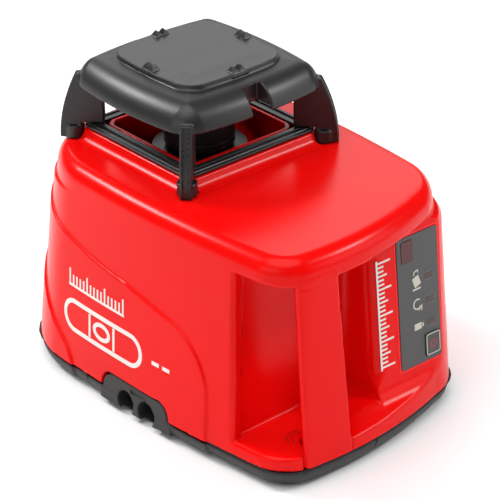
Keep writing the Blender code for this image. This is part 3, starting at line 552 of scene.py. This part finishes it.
INK = plastic("white_ink", (0.80, 0.78, 0.74), 0.5, (1500.0, 0.06), 0.03)
LAMP = plastic("dark_lamp", (0.055, 0.040, 0.040), 0.3, (900.0, 0.02), 0.05)
PALE_INK = plastic("pale_ink", (0.58, 0.56, 0.47), 0.5, (1500.0, 0.06), 0.04)
RED_INK = plastic("red_ink", (0.45, 0.02, 0.02), 0.5, (1500.0, 0.06), 0.04)


def finish_piece(obj, slot, body, *nodes):
    """Gives a piece its finish, its body and the nodes that it stands for."""
    obj.data.materials.append(MATERIALS[slot])
    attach(obj, body)
    if nodes:
        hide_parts(*nodes)
    return obj


# Camera, light and floor --------------------------------------------------------------------------------


def add_camera():
    """A long lens, above and to the right of the near side."""
    azimuth, elevation, roll = math.radians(49.79), math.radians(28.30), math.radians(-0.887)
    data = bpy.data.cameras.new("camera")
    data.sensor_width = 36.0
    data.lens = 184.0
    data.clip_end = 20.0
    camera = bpy.data.objects.new("camera", data)
    forward = Vector((-math.sin(azimuth) * math.cos(elevation), math.cos(azimuth) * math.cos(elevation),
                      -math.sin(elevation)))
    right = forward.cross(Vector((0, 0, 1))).normalized()
    up = right.cross(forward)
    turned_right = right * math.cos(roll) + up * math.sin(roll)
    turned_up = up * math.cos(roll) - right * math.sin(roll)
    rotation = Matrix((turned_right, turned_up, -forward)).transposed().to_4x4()
    camera.matrix_world = Matrix.Translation((1.01445, -0.85267, 0.79387)) @ rotation
    bpy.context.scene.collection.objects.link(camera)
    bpy.context.scene.camera = camera


def add_area(name, place, target, size, power, colour=(1, 1, 1)):
    data = bpy.data.lights.new(name, "AREA")
    data.shape = "RECTANGLE"
    data.size, data.size_y = size
    data.energy = power
    data.color = colour
    light = bpy.data.objects.new(name, data)
    light.location = place
    light.rotation_euler = (Vector(target) - Vector(place)).to_track_quat("-Z", "Y").to_euler()
    bpy.context.scene.collection.objects.link(light)


def add_surroundings():
    bpy.context.scene.view_settings.view_transform = "Standard"
    world = bpy.data.worlds.new("studio")
    world.use_nodes = True
    nodes, links = world.node_tree.nodes, world.node_tree.links
    nodes["Background"].inputs["Color"].default_value = (1.0, 1.0, 1.0, 1.0)
    seen = nodes.new("ShaderNodeLightPath")
    strength = nodes.new("ShaderNodeMapRange")
    strength.inputs["To Min"].default_value = 0.10
    strength.inputs["To Max"].default_value = 0.95
    links.new(seen.outputs["Is Camera Ray"], strength.inputs["Value"])
    links.new(strength.outputs["Result"], nodes["Background"].inputs["Strength"])
    bpy.context.scene.world = world
    middle = (0.0, 0.0, 0.08)
    sky = bpy.data.lights.new("soft_daylight", "SUN")
    sky.energy = 2.1
    sky.angle = 1.0
    overhead = bpy.data.objects.new("soft_daylight", sky)
    overhead.rotation_euler = (math.radians(14.0), math.radians(6.0), 0.0)
    bpy.context.scene.collection.objects.link(overhead)
    add_area("key_light", (-1.00, -0.50, 1.05), middle, (0.34, 0.20), 11.0)
    add_area("end_light", (0.75, 0.90, 1.07), middle, (0.26, 0.20), 7.0)
    add_area("near_softbox", (0.20, -1.50, 0.70), middle, (1.4, 0.8), 5.0)
    add_area("end_softbox", (1.20, 1.05, 0.55), middle, (0.9, 0.7), 4.0)
    add_area("back_softbox", (-1.15, 0.97, 0.95), middle, (1.6, 0.8), 8.0)
    bpy.ops.mesh.primitive_plane_add(size=12.0, location=(0, 0, -0.0005))
    floor = bpy.context.object
    floor.name = "floor"
    paint = plastic("floor_paint", (0.92, 0.92, 0.92), 0.9, (40.0, 0.02), 0.005)
    floor.data.materials.append(paint)


# Pieces -------------------------------------------------------------------------------------------------


def around(node, margin=4.0):
    low, high = box_mm(node)
    return low - margin, high + margin


def on_label(y, z, height):
    """A place on the leaning panel, at a height above its face."""
    out, up = height * math.cos(PANEL_LEAN), height * math.sin(PANEL_LEAN)
    return np.stack([panel_x(z) + out, y, z + up], axis=1)


def on_near_side(x, z, height):
    """A place on the near side's bowed skin, at a height above it."""
    y = np.full_like(x, -88.0)
    for _ in range(8):
        slope = (skin(x, y + 0.05, z) - skin(x, y - 0.05, z)) / 0.1
        y = y - (skin(x, y, z) - height) / slope
    return np.stack([x, y, z], axis=1)


def fine_path(path, closed, longest=2.0):
    """The same path with no stretch over the longest length, so that it can follow a curved skin."""
    points = [np.array(point, float) for point in path]
    ends = points[1:] + points[:1] if closed else points[1:]
    fine = []
    for start, end in zip(points, ends):
        count = max(1, math.ceil(np.linalg.norm(end - start) / longest))
        fine += [start + (end - start) * i / count for i in range(count)]
    return np.array(fine if closed else fine + [points[-1]])


def laid_strokes(name, strokes, place, low, high, material, body="root"):
    """Thin strokes laid on a surface: printed figures, and on the ledge painted shadow lines. Each stroke is
    (path, width, closed).
    """
    points, faces = [], []
    for path, width, closed in strokes:
        line = fine_path(path, closed)
        count = len(line)
        before = np.roll(line, 1, axis=0) if closed else np.vstack([line[:1], line[:-1]])
        after = np.roll(line, -1, axis=0) if closed else np.vstack([line[1:], line[-1:]])
        first, second = line - before, after - line
        first = np.where(np.hypot(*first.T)[:, None] > 1e-9, first, second)
        second = np.where(np.hypot(*second.T)[:, None] > 1e-9, second, first)
        first = first / np.hypot(*first.T)[:, None]
        second = second / np.hypot(*second.T)[:, None]
        along = (first + second) / np.hypot(*(first + second).T)[:, None]
        reach = width / 2 / np.maximum((along * first).sum(axis=1), 0.5)
        across = np.stack([-along[:, 1], along[:, 0]], axis=1) * reach[:, None]
        start = len(points)
        left, right = line + across, line - across
        corners = ((left, low), (left, high), (right, high), (right, low))
        rows = [place(*side.T, height) for side, height in corners]
        points += [rows[k][i] for i in range(count) for k in range(4)]
        for i in range(count if closed else count - 1):
            here, there = start + 4 * i, start + 4 * ((i + 1) % count)
            faces += [(here + k, there + k, there + (k + 1) % 4, here + (k + 1) % 4) for k in range(4)]
        if not closed:
            last = start + 4 * (count - 1)
            faces += [(start + 3, start + 2, start + 1, start), (last, last + 1, last + 2, last + 3)]
    obj = mesh_object(name, points, faces)
    turned = bmesh.new()
    turned.from_mesh(obj.data)
    bmesh.ops.recalc_face_normals(turned, faces=turned.faces)
    turned.to_mesh(obj.data)
    turned.free()
    obj.data.shade_flat()
    obj.data.materials.append(material)
    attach(obj, body)
    return obj


def arc(middle, radius, start, end, steps=20, squeeze=1.0):
    """Points along an arc between two angles in degrees, with its width scaled by squeeze."""
    angles = [math.radians(start + (end - start) * i / steps) for i in range(steps + 1)]
    return [(middle[0] + radius * math.cos(t) * squeeze, middle[1] + radius * math.sin(t)) for t in angles]


def pill(middle, half_u, half_v, r, steps=4):
    """A rounded rectangle's outline."""
    path = []
    for turn, (su, sv) in enumerate(((1, 1), (-1, 1), (-1, -1), (1, -1))):
        at = (middle[0] + su * (half_u - r), middle[1] + sv * (half_v - r))
        path += arc(at, r, 90 * turn, 90 * turn + 90, steps)
    return path


def add_panel_graphics():
    """The panel's printed marks: icons, lamps, the key's ring and mark, a border and a scale."""
    for name, (y, z, wide, tall) in PANEL_HOLES.items():
        if name.startswith("led"):
            outline = [(pill((y, z), wide + 0.35, tall + 0.35, 0.9), 0.3, True)]
            laid_strokes(name + "_outline", outline, on_label, 1.0, 1.16, DIM_INK)
            laid_strokes(name + "_lamp", [([(y - 1.0, z), (y + 1.0, z)], 0.9, False)], on_label, 1.2, 1.36, DIM_RED)
    tilt = [
        ([(34.4, 84.6), (40.6, 84.6)], 1.1, False),
        ([(35.2, 88.6), (40.0, 90.2)], 6.2, False),
        ([(35.6, 93.4), (35.9, 95.4), (38.6, 96.3), (38.9, 94.6)], 0.7, False),
    ]
    auto = [(arc((37.6, 75.0), 3.0, 50, 330), 0.8, False)]
    auto += [([(38.2, 71.0), (40.9, 73.4), (40.6, 70.2)], 0.8, False)]
    battery = [([(34.6, 61.0), (40.0, 61.0)], 4.0, False), ([(40.7, 61.0), (41.7, 61.0)], 2.4, False)]
    laid_strokes("panel_icons", tilt + auto + battery, on_label, 1.0, 1.16, PALE_INK)
    y, z, wide, tall = PANEL_HOLES["power_key"]
    ring = [(pill((y, z), wide - 0.5, tall - 0.6, 1.3), 0.55, True)]
    laid_strokes("key_ring", ring, on_label, 1.8, 1.96, PALE_INK, "key")
    mark = [(arc((y, z - 0.2), 2.1, 125, 415, 24), 0.6, False), ([(y, z + 0.6), (y, z + 3.0)], 0.6, False)]
    laid_strokes("key_mark", mark, on_label, 1.8, 1.96, RED_INK, "key")
    middle = ((LABEL_Y[0] + LABEL_Y[1]) / 2, (LABEL_Z[0] + LABEL_Z[1]) / 2)
    edge = pill(middle, (LABEL_Y[1] - LABEL_Y[0]) / 2 + 0.9, (LABEL_Z[1] - LABEL_Z[0]) / 2 + 0.9, 2.0)
    laid_strokes("label_border", [(edge, 1.1, True)], on_label, 0.3, 0.66, BRIGHT_RED)
    scale = []
    for step in range(25):
        reach = 9.5 if step % 6 == 0 else 6.5 if step % 3 == 0 else 4.2
        z = 45.0 + 2.7 * step
        scale.append(([(9.2, z), (9.2 + reach, z)], 1.15, False))
    laid_strokes("panel_scale", scale + [([(8.4, 43.2), (8.4, 111.6)], 1.3, False)], on_label, 0.4, 0.6, INK)


def on_ledge(x, y, height):
    """A place on the level part of the ledge, at a height above it."""
    return np.stack([x, y, np.full_like(x, LEDGE_Z + height)], axis=1)


def add_ledge_lines():
    """Painted shadow: two thin dark red arcs laid on the ledge round the handle's foot, standing for the
    shade in its two fine moulded grooves.
    """
    lines = [(arc((106.5, -48.5), radius, 95, 268, 24), 0.45, False) for radius in (9.0, 6.2)]
    laid_strokes("ledge_arcs", lines, on_ledge, -0.15, 0.05, GROOVE_SHADOW_RED)


def add_side_graphics():
    """Printed marks of the near side: a short scale over a level vial with its bubble between two lines."""
    ticks = [([(-58.0 + 3.4 * i, 66.5), (-58.0 + 3.4 * i, 66.5 + (9.5 if i % 5 == 0 else 6.0))], 1.3, False)
             for i in range(16)]
    scale = ticks + [([(-59.0, 65.6), (-6.0, 65.6)], 1.5, False)]
    vial = [(pill((-27.0, 46.0), 36.0, 9.5, 9.4, 8), 2.8, True)]
    vial += [(arc((-27.0, 46.0), 4.6, 0, 360, 28, 1.5)[:-1], 2.6, True)]
    vial += [([(at, 38.5), (at, 53.5)], 1.8, False) for at in (-38.5, -15.5)]
    vial += [([(19.0, 46.0), (25.0, 46.0)], 2.4, False), ([(28.0, 46.0), (34.0, 46.0)], 2.4, False)]
    laid_strokes("side_scale", scale + vial, on_near_side, 0.02, 0.22, INK)


def add_shells():
    low, high = around("upper_housing", 5.0)
    step = 1.25
    fine = 0.9
    shell = from_field("housing_shell", housing, low, high, step)
    finish_piece(shell, "red_plastic", "root", "upper_housing")
    grip = from_field("rear_grip", rear_grip, *around("handle_rear_shell"), fine)
    finish_piece(grip, "red_plastic", "root", "handle_rear_shell")
    base = from_field("base", base_shell, *around("base_shell"), fine)
    finish_piece(base, "grey_plastic", "root", "base_shell")
    case = from_field("battery_tray", battery_case, *around("battery_case"), fine)
    finish_piece(case, "grey_plastic", "tray", "battery_case")
    # Both deep fittings are finished in black plastic, the steel case lock too: painted shade for the dark
    # depth of the ports.
    for field, slot, body in ((case_lock, "steel", "lock"), (charge_socket, "black_plastic", "tray")):
        fitting = from_field("deep_" + field.__name__, field, *around(field.__name__, 1.0), 0.4)
        finish_piece(fitting, "black_plastic", body, field.__name__)
    guard = from_field("cage", cage, *around("guard_cage"), 0.8)
    finish_piece(guard, "black_plastic", "root", "guard_cage")
    ring = from_field("cage_ring", cage_frame, *around("cage_frame", 2.0), 0.5)
    finish_piece(ring, "black_plastic", "root", "cage_frame")
    head = from_field("beam_head", rotor_head, *around("rotor_head", 2.0), 0.6)
    finish_piece(head, "black_plastic", "rotor", "rotor_head")


def dress_cad_nodes():
    """Every node that stays gets the procedural material of its slot."""
    slots = {part["node"]: part["material_slot"] for part in frame["record"]["subparts"]}
    for name, obj in frame["nodes"].items():
        obj.data.materials.clear()
        obj.data.materials.append(LAMP if name.startswith("led") else MATERIALS[slots[name]])


add_camera()
add_surroundings()
dress_cad_nodes()
add_shells()
add_panel_graphics()
add_side_graphics()
add_ledge_lines()
